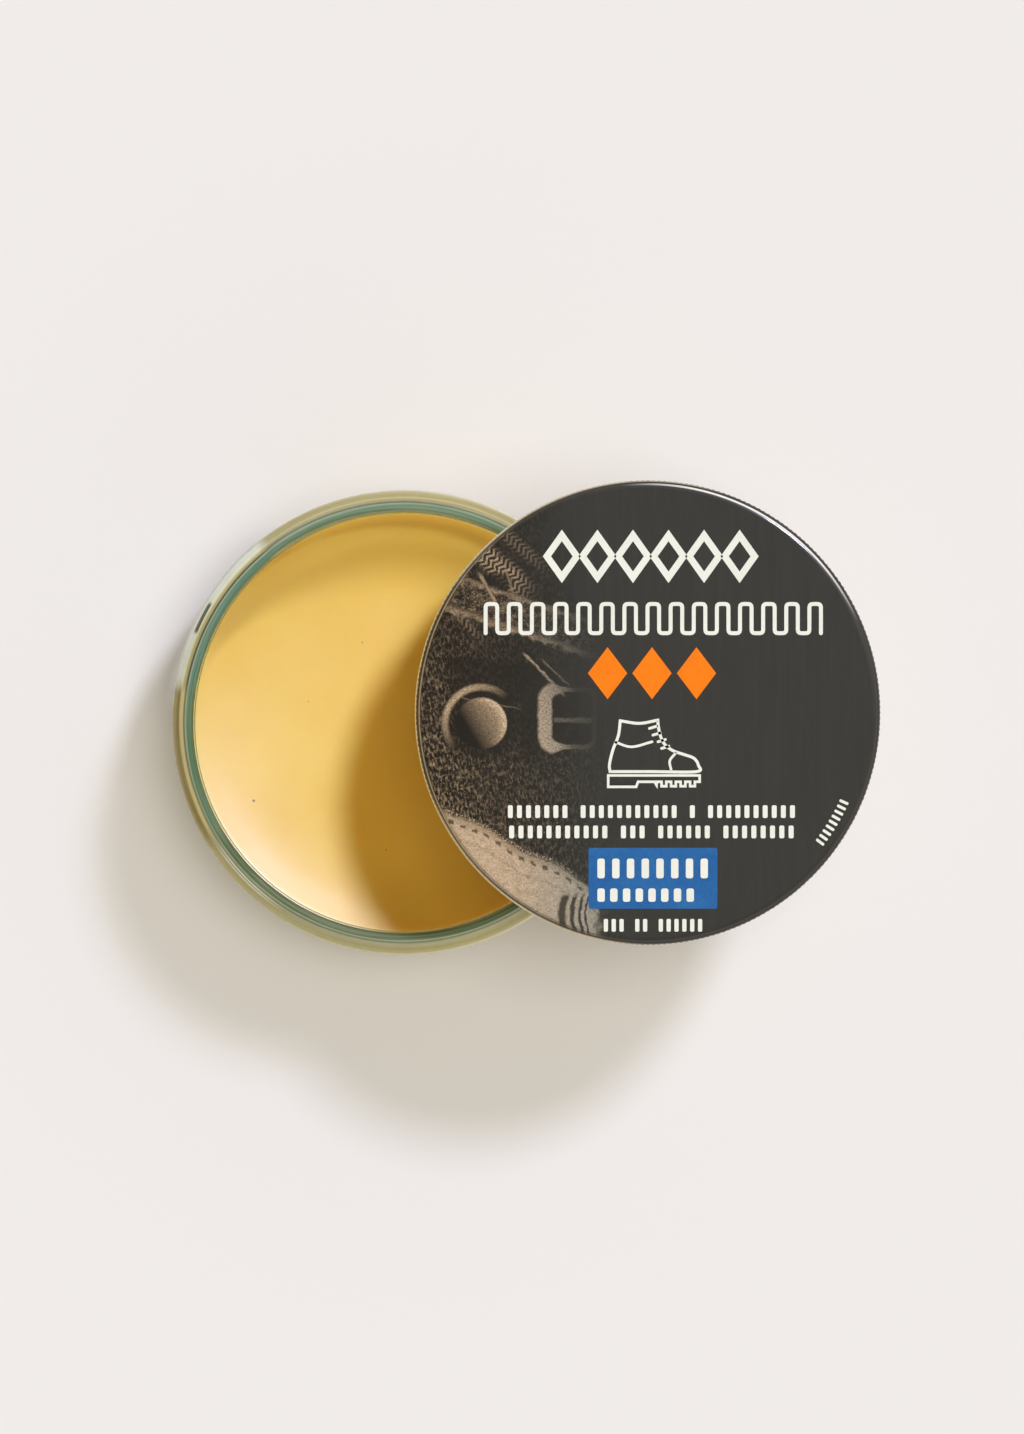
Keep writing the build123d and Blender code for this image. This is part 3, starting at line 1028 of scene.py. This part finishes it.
def wax_top_edge(angle, radius, z):
    """Top ring held just inside the bore."""
    limit = bore_radius(angle, np.full_like(angle, WAX_SIDE_Z[-1])) - 0.08
    radius = np.minimum(radius, limit)
    return radius, wax_height(angle, radius)


def make_wax():
    count = 256
    bottom = FLOOR_Z - 0.02
    bond = 0.03  # the wax wets the glass below; near the top it has shrunk off it
    skin = Skin()
    skin.pole(bottom)
    for radius, points in ((5, 64), (12, 64), (20, 128), (27, 256)):
        skin.ring(points, radius, bottom)
    foot = arc(BORE_LOW_R - FLOOR_FILLET, BORE_LOW_Z, FLOOR_FILLET + bond, -88, 0, 12)
    for radius, z in foot:
        skin.ring(count, radius, z, shape=bore_foot)
    for z in WAX_SIDE_Z:
        gap = bond - 0.10 * float(smooth01((z - 9.2) / 1.6))
        skin.ring(count, 0, z, shape=bore_wall(gap))
    for inward in WAX_TOP_IN:
        skin.ring(count, BORE_TOP_R - inward, 0, shape=wax_top_edge)
    for radius in (8.0, 5.0, 2.5):
        skin.ring(64, radius, 0, shape=lambda angle, r, z: (r, wax_height(angle, r)))
    skin.pole(float(wax_height(np.zeros(1), np.zeros(1))[0]))
    wax = skin.build("wax_block")
    return register(wax, WAX, body="jar", node="wax_fill", slot="wax")


# ---------------------------------------------------------------------------
# Side label: thin curved sheet with rounded corners
# ---------------------------------------------------------------------------
def make_label():
    low, high = label_low[2], label_high[2]
    corner = 2.0
    across, up = 72, 30
    half_width, half_height = math.radians(26.0) * LABEL_BEND_R, 0.5 * (high - low)
    verts, faces = [], []
    for offset in (-0.06, 0.12):  # back and face of the sheet from the jar's radius
        for i in range(across + 1):
            for j in range(up + 1):
                x = (-1 + 2 * i / across) * half_width
                y = (-1 + 2 * j / up) * half_height
                # pull square corners in to round ones
                over_x = abs(x) - (half_width - corner)
                over_y = abs(y) - (half_height - corner)
                if over_x > 0 and over_y > 0:
                    pull = max(over_x, over_y) / math.hypot(over_x, over_y)
                    x = math.copysign((half_width - corner) + over_x * pull, x)
                    y = math.copysign((half_height - corner) + over_y * pull, y)
                angle = math.radians(LABEL_ANGLE) + x / LABEL_BEND_R
                radius = JAR_R + offset
                spot = (radius * math.cos(angle), radius * math.sin(angle))
                verts.append((*spot, 0.5 * (low + high) + y))
    layer_size = (across + 1) * (up + 1)

    def at(layer, i, j):
        return layer * layer_size + i * (up + 1) + j

    for layer in (0, 1):
        for i in range(across):
            for j in range(up):
                quad = (
                    at(layer, i, j), at(layer, i + 1, j),
                    at(layer, i + 1, j + 1), at(layer, i, j + 1),
                )
                faces.append(quad if layer else quad[::-1])
    for i in range(across):
        faces.append((at(0, i, 0), at(0, i + 1, 0), at(1, i + 1, 0), at(1, i, 0)))
        faces.append((at(0, i + 1, up), at(0, i, up), at(1, i, up), at(1, i + 1, up)))
    for j in range(up):
        faces.append((at(0, 0, j + 1), at(0, 0, j), at(1, 0, j), at(1, 0, j + 1)))
        end = across
        faces.append((at(0, end, j), at(0, end, j + 1), at(1, end, j + 1), at(1, end, j)))
    label = mesh_object("paper_label", verts, faces)
    register(label, LABEL, body="jar", node="side_label", slot="label_paper")


# ---------------------------------------------------------------------------
# Lid: one pressed sheet with printed top, knurl, rolled thread and rolled hem
# ---------------------------------------------------------------------------
def lid_thread(angle, z):
    low = LID_BOTTOM + 1.25
    return helix_rib(angle, z, low, start=153.2, turns=1.0, half_base=1.1, half_tip=0.3)


def knurled(amount):
    """Round-topped ridges with narrow valleys."""

    def shape(angle, radius, z):
        wave = 0.5 + 0.5 * np.cos(KNURLS * angle)
        return radius + 0.10 * amount * (wave**0.7), z

    return shape


def lid_outside(angle, radius, z):
    fade = smooth01((LID_TOP - 5.6 - z) / 0.8)
    return radius - 0.42 * lid_thread(angle, z) * fade, z


def lid_inside(angle, radius, z):
    return radius - 0.64 * lid_thread(angle, z), z


def make_lid():
    sheet, corner, skirt_r, hem_r = 0.25, 1.2, 36.55, 0.42
    coarse, fine = 396, 6 * KNURLS
    printed, gold, inside = 0, 1, 2  # material slots
    skin = Skin(LID_X, LID_Y)
    # printed top, down to the start of the knurl
    skin.pole(LID_TOP)
    for radius, points in (
        (4, 99), (10, 99), (16, 99), (22, 198), (27, 198), (31, 396), (33.5, 396), (34.8, 396),
        (skirt_r - corner - 0.04, 396),
    ):
        skin.ring(points, radius, LID_TOP, printed)
    turn = arc(skirt_r - corner, LID_TOP - corner, corner, 90, 0, 15)
    for radius, z in turn[:-4]:
        skin.ring(coarse, radius, z, printed)
    for (radius, z), amount in zip(turn[-4:], (0.0, 0.25, 0.6, 0.9)):
        skin.ring(fine, radius, z, printed, knurled(amount))
    # knurled band: depth below the top, amount of knurl
    for depth, amount in (
        (1.5, 1.0), (2.2, 1.0), (3.2, 1.0), (4.2, 1.0), (5.0, 1.0), (5.35, 0.8), (5.6, 0.35),
        (5.8, 0.0),
    ):
        skin.ring(fine, skirt_r, LID_TOP - depth, gold, knurled(amount))
    # threaded skirt and rolled hem
    for z in np.arange(LID_TOP - 6.0, LID_BOTTOM + 0.95, -0.2):
        skin.ring(coarse, skirt_r, z, gold, lid_outside)
    for radius, z in arc(LID_R - hem_r, LID_BOTTOM + hem_r, hem_r, 78, -180, 22):
        skin.ring(coarse, radius, z, gold)
    # inside of the skirt and underside of the top
    inner_r, inner_corner = skirt_r - sheet, 0.95
    ceiling = LID_TOP - sheet
    for z in np.arange(LID_BOTTOM + 0.85, LID_TOP - 3.0, 0.22):
        skin.ring(coarse, inner_r, z, inside, lid_inside)
    for radius, z in arc(inner_r - inner_corner, ceiling - inner_corner, inner_corner, 0, 90, 9):
        skin.ring(coarse, radius, z, inside)
    for radius, points in ((34.9, 396), (33.0, 198), (26, 198), (18, 99), (9, 99)):
        skin.ring(points, radius, ceiling, inside)
    skin.pole(ceiling, inside)
    lid = skin.build("lid_printed_shell")
    register(lid, PRINT, GOLD, INSIDE, body="lid", node="lid_shell", slot="lid_metal")


# ---------------------------------------------------------------------------
# Liner board and sealing disc
# ---------------------------------------------------------------------------
def make_disc(name, low, high, edge, grooves, material, **frame):
    """Flat disc in the box low to high. Grooves in its underside: radius, width, depth."""
    radius = 0.5 * (high[0] - low[0])
    bottom, top = low[2], high[2]
    count = 192
    stations = {0.15 * radius, 0.3 * radius, 0.45 * radius, 0.9 * radius, radius - edge - 0.05}
    for centre, width, _ in grooves:
        for k in (-2, -1, -0.5, 0, 0.5, 1, 2):
            station = centre + k * width
            if 0.5 * radius < station < radius - edge - 0.1:
                stations.add(round(station, 3))
    stations = sorted(stations)

    def points(station):
        return 48 if station < 0.4 * radius else count

    skin = Skin(LID_X, LID_Y)
    skin.pole(bottom)
    for r in stations:
        cut = sum(depth * np.exp(-(((r - at) / width) ** 2)) for at, width, depth in grooves)
        skin.ring(points(r), r, bottom + cut)
    for r, z in arc(radius - edge, bottom + edge, edge, -90, 0, 6):
        skin.ring(count, r, z)
    for r, z in arc(radius - edge, top - edge, edge, 0, 90, 6):
        skin.ring(count, r, z)
    for r in reversed(stations):
        skin.ring(points(r), r, top)
    skin.pole(top)
    register(skin.build(name), material, **frame)


# ---------------------------------------------------------------------------
# Print marks: thin raised ink, plain shapes only
# ---------------------------------------------------------------------------
class Marks:
    """Thin closed prisms gathered into one mesh, in mm from the lid's axis and top."""

    def __init__(self, low, high):
        self.levels = (LID_TOP + low, LID_TOP + high)
        self.verts, self.faces = [], []

    def prism(self, outline):
        """Filled simple outline, counter-clockwise."""
        start, count = len(self.verts), len(outline)
        for z in self.levels:
            self.verts += [(LID_X + x, LID_Y + y, z) for x, y in outline]
        self.faces.append(tuple(start + i for i in reversed(range(count))))
        self.faces.append(tuple(start + count + i for i in range(count)))
        for i in range(count):
            j = (i + 1) % count
            self.faces.append((start + i, start + j, start + count + j, start + count + i))

    def stroke(self, line, width, closed=False):
        """Line of even width with mitred corners; an open one gets rounded caps."""
        line = np.array(line, float)
        ahead, behind = np.roll(line, -1, 0) - line, line - np.roll(line, 1, 0)
        if not closed:
            ahead[-1] = behind[-1]
            behind[0] = ahead[0]
        ahead /= np.linalg.norm(ahead, axis=1)[:, None]
        behind /= np.linalg.norm(behind, axis=1)[:, None]
        normal = np.c_[-ahead[:, 1], ahead[:, 0]]
        mitre = normal + np.c_[-behind[:, 1], behind[:, 0]]
        mitre /= np.linalg.norm(mitre, axis=1)[:, None]
        cosine = np.maximum((mitre * normal).sum(1), 0.45)
        mitre = mitre / cosine[:, None] * (width / 2)
        left, right = line + mitre, line - mitre
        self.ribbon(left, right, closed)
        if not closed:
            self.cap(line[-1], ahead[-1], right[-1], left[-1], width)
            self.cap(line[0], -behind[0], left[0], right[0], width)

    def cap(self, centre, direction, first, last, width):
        facing = math.atan2(direction[1], direction[0])
        middle = [
            (
                centre[0] + width / 2 * math.cos(facing + t),
                centre[1] + width / 2 * math.sin(facing + t),
            )
            for t in np.linspace(-math.pi / 2, math.pi / 2, 8)[1:-1]
        ]
        self.prism([tuple(first)] + middle + [tuple(last)])

    def ribbon(self, left, right, closed):
        start, count = len(self.verts), len(left)
        for z in self.levels:
            for side in (left, right):
                self.verts += [(LID_X + x, LID_Y + y, z) for x, y in side]
        left_low, right_low, left_high, right_high = (start + k * count for k in range(4))
        for i in range(count if closed else count - 1):
            j = (i + 1) % count
            self.faces += [
                (left_high + i, right_high + i, right_high + j, left_high + j),
                (left_low + i, left_low + j, right_low + j, right_low + i),
                (left_low + i, left_high + i, left_high + j, left_low + j),
                (right_low + i, right_low + j, right_high + j, right_high + i),
            ]
        if not closed:
            end = count - 1
            self.faces.append((left_low, right_low, right_high, left_high))
            self.faces.append(
                (left_low + end, left_high + end, right_high + end, right_low + end)
            )

    def bar(self, x0, x1, y0, y1, radius, turn=0.0, centre=(0.0, 0.0)):
        """Bar with rounded corners, turned by degrees and moved to centre."""
        outline = []
        for x, y, start in (
            (x1 - radius, y0 + radius, -90),
            (x1 - radius, y1 - radius, 0),
            (x0 + radius, y1 - radius, 90),
            (x0 + radius, y0 + radius, 180),
        ):
            outline += arc(x, y, radius, start, start + 90, 6)
        if turn:
            cos, sin = math.cos(math.radians(turn)), math.sin(math.radians(turn))
            outline = [
                (centre[0] + x * cos - y * sin, centre[1] + x * sin + y * cos)
                for x, y in outline
            ]
        self.prism(outline)

    def words(self, x0, x1, y0, y1, counts, fill=0.54):
        """A line of small print kept as plain upright blocks, grouped like words."""
        total = sum(counts) + (len(counts) - 1) * 1.0 - (1 - fill)
        pitch = (x1 - x0) / total
        x = x0
        for count in counts:
            for _ in range(count):
                self.bar(x, x + pitch * fill, y0, y1, radius=pitch * fill * 0.3)
                x += pitch
            x += pitch

    def build(self, name, material):
        marks = mesh_object(name, self.verts, self.faces, smooth=False)
        register(marks, material, body="lid", slot="lid_metal")


def catmull(points):
    """Smooth open curve through the points, eight steps to a span."""
    points = [np.array(p, float) for p in points]
    padded = [2 * points[0] - points[1], *points, 2 * points[-1] - points[-2]]
    out = []
    for a, b, c, d in zip(padded, padded[1:], padded[2:], padded[3:]):
        for t in np.linspace(0, 1, 8, endpoint=False):
            square = (2 * a - 5 * b + 4 * c - d) * t * t
            cube = (-a + 3 * b - 3 * c + d) * t**3
            out.append(tuple(0.5 * ((2 * b) + (c - a) * t + square + cube)))
    out.append(tuple(points[-1]))
    return out


def round_corners(points, radius):
    """Open polyline with its corners rounded off."""
    out = [points[0]]
    for before, corner, after in zip(points, points[1:], points[2:]):
        before, corner, after = (np.array(p, float) for p in (before, corner, after))
        length_in, length_out = np.linalg.norm(before - corner), np.linalg.norm(after - corner)
        cut = min(radius, 0.45 * length_in, 0.45 * length_out)
        start = corner + (before - corner) / length_in * cut
        end = corner + (after - corner) / length_out * cut
        for t in np.linspace(0, 1, 4):
            out.append(tuple((1 - t) ** 2 * start + 2 * t * (1 - t) * corner + t * t * end))
    out.append(points[-1])
    return out


def add_diamonds(marks):
    """Row of six diamonds."""
    left, right, y, half = -16.4, 17.2, 24.6, 3.3
    pitch = (right - left) / 6
    reach = pitch * 0.42
    for i in range(6):
        x = left + pitch * (i + 0.5)
        marks.stroke([(x - reach, y), (x, y - half), (x + reach, y), (x, y + half)], 1.05, True)


def add_border(marks):
    """Stepped border line."""
    left, right, low, high, steps = -25.6, 27.2, 12.5, 17.1, 29
    line = []
    for i in range(steps + 1):
        x = left + (right - left) / steps * i
        line += [(x, low), (x, high)] if i % 2 == 0 else [(x, high), (x, low)]
    marks.stroke(round_corners(line, 0.55), 0.62)


def add_boot(marks):
    """Boot pictogram, plain outline."""
    upper = catmull([(-4.4, -1.3), (-4.7, -3.6), (-5.6, -6.0), (-6.1, -8.2), (-6.0, -9.3)])
    upper += catmull([
        (-6.0, -9.3), (0.5, -9.3), (7.6, -9.3), (7.9, -8.3), (7.2, -7.2), (5.6, -6.6),
        (3.9, -6.0), (2.6, -5.0), (1.9, -3.6), (1.6, -2.2), (1.5, -1.2),
    ])[1:]
    upper += catmull([(1.5, -1.2), (-1.4, -1.7), (-4.4, -1.3)])[1:-1]
    marks.stroke(upper, 0.46, True)
    # sole with square cleats
    toe, ground, tread, pitch = 8.1, -10.9, -11.6, 0.75
    sole = [(-6.3, -9.9), (toe, -9.9), (toe, ground)]
    for i in range(1, 10):
        x = toe - pitch * i
        sole += [(x, ground), (x, tread)] if i % 2 else [(x, tread), (x, ground)]
    sole += [(1.0, ground), (-1.6, ground), (-1.9, -11.7), (-6.3, -11.7)]
    marks.stroke(sole, 0.40, True)
    # seams at ankle and toe, then the laces
    marks.stroke(catmull([(-5.1, -4.7), (-2.6, -5.4), (0.6, -4.6)]), 0.40)
    marks.stroke(catmull([(3.6, -9.0), (3.4, -7.6), (4.3, -6.4)]), 0.40)
    for i in range(4):
        x, y = 0.2 + 0.55 * i + (0.25 if i > 1 else 0.0), -2.5 - 1.05 * i
        marks.stroke([(x, y), (x + 1.15, y + 0.35)], 0.42)


def add_rim_code(marks):
    """Small code at the right edge, turned to follow the rim."""
    radius = 33.9
    for i in range(9):
        angle = math.radians(-37.0 + 1.55 * i)
        centre = (radius * math.cos(angle), radius * math.sin(angle))
        turn = math.degrees(angle) + 90.0
        marks.bar(-0.22, 0.22, -0.75, 0.75, radius=0.15, turn=turn, centre=centre)


def make_marks():
    white = Marks(-0.02, 0.03)
    add_diamonds(white)
    add_border(white)
    add_boot(white)
    white.words(-22.1, 23.1, -16.6, -14.6, [7, 11, 1, 10])
    white.words(-21.9, 22.9, -19.8, -17.8, [11, 3, 6, 8])
    white.words(-7.0, 8.5, -34.5, -32.5, [3, 2, 6])
    add_rim_code(white)
    white.build("lid_marks_white", WHITE_INK)

    orange = Marks(-0.02, 0.03)
    for x in (-6.4, 0.6, 7.6):
        orange.prism([(x - 3.1, 6.2), (x, 2.1), (x + 3.1, 6.2), (x, 10.3)])
    orange.build("lid_marks_orange", ORANGE_INK)

    badge = Marks(-0.02, 0.02)
    badge.bar(-9.4, 10.9, -30.9, -21.3, radius=0.35)
    badge.build("lid_badge_blue", BLUE_INK)
    lettering = Marks(0.005, 0.04)
    lettering.words(-8.0, 9.4, -26.1, -23.0, [8], fill=0.5)
    lettering.words(-8.0, 7.2, -29.8, -27.7, [8], fill=0.58)
    lettering.build("lid_badge_marks", WHITE_INK)


make_jar()
wax_piece = make_wax()
make_label()
make_lid()
make_disc(
    "liner_board_disc", liner_low, liner_high, edge=0.12, grooves=[(33.0, 0.5, 0.06)],
    material=BOARD, body="liner", node="liner_wad", slot="liner_board",
)
make_disc(
    "foam_sealing_disc", disc_low, disc_high, edge=0.15,
    grooves=[(30.0, 0.35, 0.10), (24.0, 0.35, 0.10), (18.5, 0.35, 0.10)],
    material=FOAM, body="seal", node="sealing_disc", slot="disc_foam",
)
make_marks()

# ---------------------------------------------------------------------------
# Stage, in metres: pale floor, soft light, camera straight above
# ---------------------------------------------------------------------------
scene = bpy.context.scene


def make_floor():
    count, z = 96, -0.0002
    radii = (0.3, 1.0, 3.0, 6.0)
    verts = [(0.017, 0.0, z)]
    for r in radii:
        angles = [TAU * i / count for i in range(count)]
        verts += [(r * math.cos(a), r * math.sin(a), z) for a in angles]
    faces = [(0, 1 + i, 1 + (i + 1) % count) for i in range(count)]
    for k in range(len(radii) - 1):
        inner, outer = 1 + k * count, 1 + (k + 1) * count
        for i in range(count):
            j = (i + 1) % count
            faces.append((inner + i, outer + i, outer + j, inner + j))
    mesh = bpy.data.meshes.new("floor")
    mesh.from_pydata(verts, [], faces)
    floor = bpy.data.objects.new("floor", mesh)
    scene.collection.objects.link(floor)
    mat = Material("pale_paper_floor")
    soft = mat.noise(scale=6.0, detail=2.0)
    fine = mat.noise(scale=900.0, detail=2.0)
    tone = soft * 0.5 + fine * 0.15
    mat.set(
        color=mat.mix(tone, (0.800, 0.783, 0.762), (0.812, 0.797, 0.778)),
        rough=0.95,
        spec=0.1,
    )
    mesh.materials.append(mat.data)


def sun_lamp(name, energy, color, spread, toward, glossy=True):
    """Sun seen in the direction toward, spread degrees wide."""
    light = bpy.data.lights.new(name, "SUN")
    light.energy, light.color, light.angle = energy, color, math.radians(spread)
    lamp = bpy.data.objects.new(name, light)
    scene.collection.objects.link(lamp)
    lamp.rotation_mode = "QUATERNION"
    lamp.rotation_quaternion = Vector(toward).to_track_quat("Z", "Y")
    lamp.location = Vector(toward) * 2.0
    lamp.visible_glossy = glossy
    return lamp


def make_lights():
    """Cool key from the back right, warm fill from overhead; the wax has its own pair."""
    key_from, fill_from = (0.374, 0.462, 0.804), (0.16, 0.03, 1.0)
    sun_lamp("key", energy=1.44, color=(0.785, 0.81, 1.0), spread=8.0, toward=key_from)
    fill = sun_lamp(
        "overhead", energy=1.30, color=(1.0, 0.967, 0.893), spread=24.0, toward=fill_from,
        glossy=False,
    )
    wax_key = sun_lamp(
        "key_on_wax", energy=2.75, color=(0.44, 0.59, 1.0), spread=11.0, toward=key_from,
    )
    wax_fill = sun_lamp(
        "overhead_on_wax", energy=0.52, color=(1.0, 0.80, 0.40), spread=24.0,
        toward=fill_from, glossy=False,
    )
    for lamp, state in ((fill, "EXCLUDE"), (wax_key, "INCLUDE"), (wax_fill, "INCLUDE")):
        group = bpy.data.collections.new(lamp.name + "_receivers")
        group.objects.link(wax_piece)
        lamp.light_linking.receiver_collection = group
        group.collection_objects[0].light_linking.link_state = state


def make_world():
    """Warm surround, bright low down and dim overhead; the camera sees an even tone."""
    world = bpy.data.worlds.new("studio")
    scene.world = world
    world.use_nodes = True
    tree = world.node_tree
    tree.nodes.clear()
    output = add_node(tree, "OutputWorld")
    position = add_node(tree, "TexCoord").outputs["Generated"]
    height = add_node(tree, "SeparateXYZ", {0: position}).outputs["Z"]
    fade = {
        "Value": height, "From Min": 0.35, "From Max": 0.80, "To Min": 0.90, "To Max": 0.15,
    }
    ramp = add_node(tree, "MapRange", fade, interpolation_type="SMOOTHSTEP")
    to_camera = add_node(tree, "LightPath").outputs["Is Camera Ray"]
    choice = {0: to_camera, 2: ramp.outputs["Result"], 3: 0.88}
    strength = add_node(tree, "Mix", choice, data_type="FLOAT").outputs[0]
    glow = {"Color": (1.0, 0.945, 0.865), "Strength": strength}
    background = add_node(tree, "Background", glow)
    feed(tree, output.inputs["Surface"], background.outputs[0])


def make_camera():
    height = 1.25
    view_width = 0.2258268  # long side of the view at the height of the lid's top
    data = bpy.data.cameras.new("camera")
    data.sensor_width = 36.0
    camera = bpy.data.objects.new("camera", data)
    scene.collection.objects.link(camera)
    camera.location = (0.01735, 0.0009, height)
    camera.rotation_euler = (0, 0, 0)
    data.lens = 36.0 * (height - LID_TOP * MM) / view_width
    data.clip_start, data.clip_end = 0.05, 50.0
    scene.camera = camera


def set_render():
    view = scene.view_settings
    view.view_transform = "Standard"
    view.look = "None"
    # a soft photographic toe: darks a little deeper, lights untouched
    view.use_curve_mapping = True
    curves = view.curve_mapping
    curves.use_clip = False
    for x, y in ((0.02, 0.009), (0.05, 0.032), (0.10, 0.080), (0.20, 0.185), (0.40, 0.40)):
        curves.curves[3].points.new(x, y)
    curves.update()
    scene.cycles.caustics_reflective = False
    scene.cycles.caustics_refractive = False
    scene.cycles.max_bounces = 16
    scene.cycles.transmission_bounces = 14
    scene.cycles.transparent_max_bounces = 16


make_floor()
make_lights()
make_world()
make_camera()
set_render()
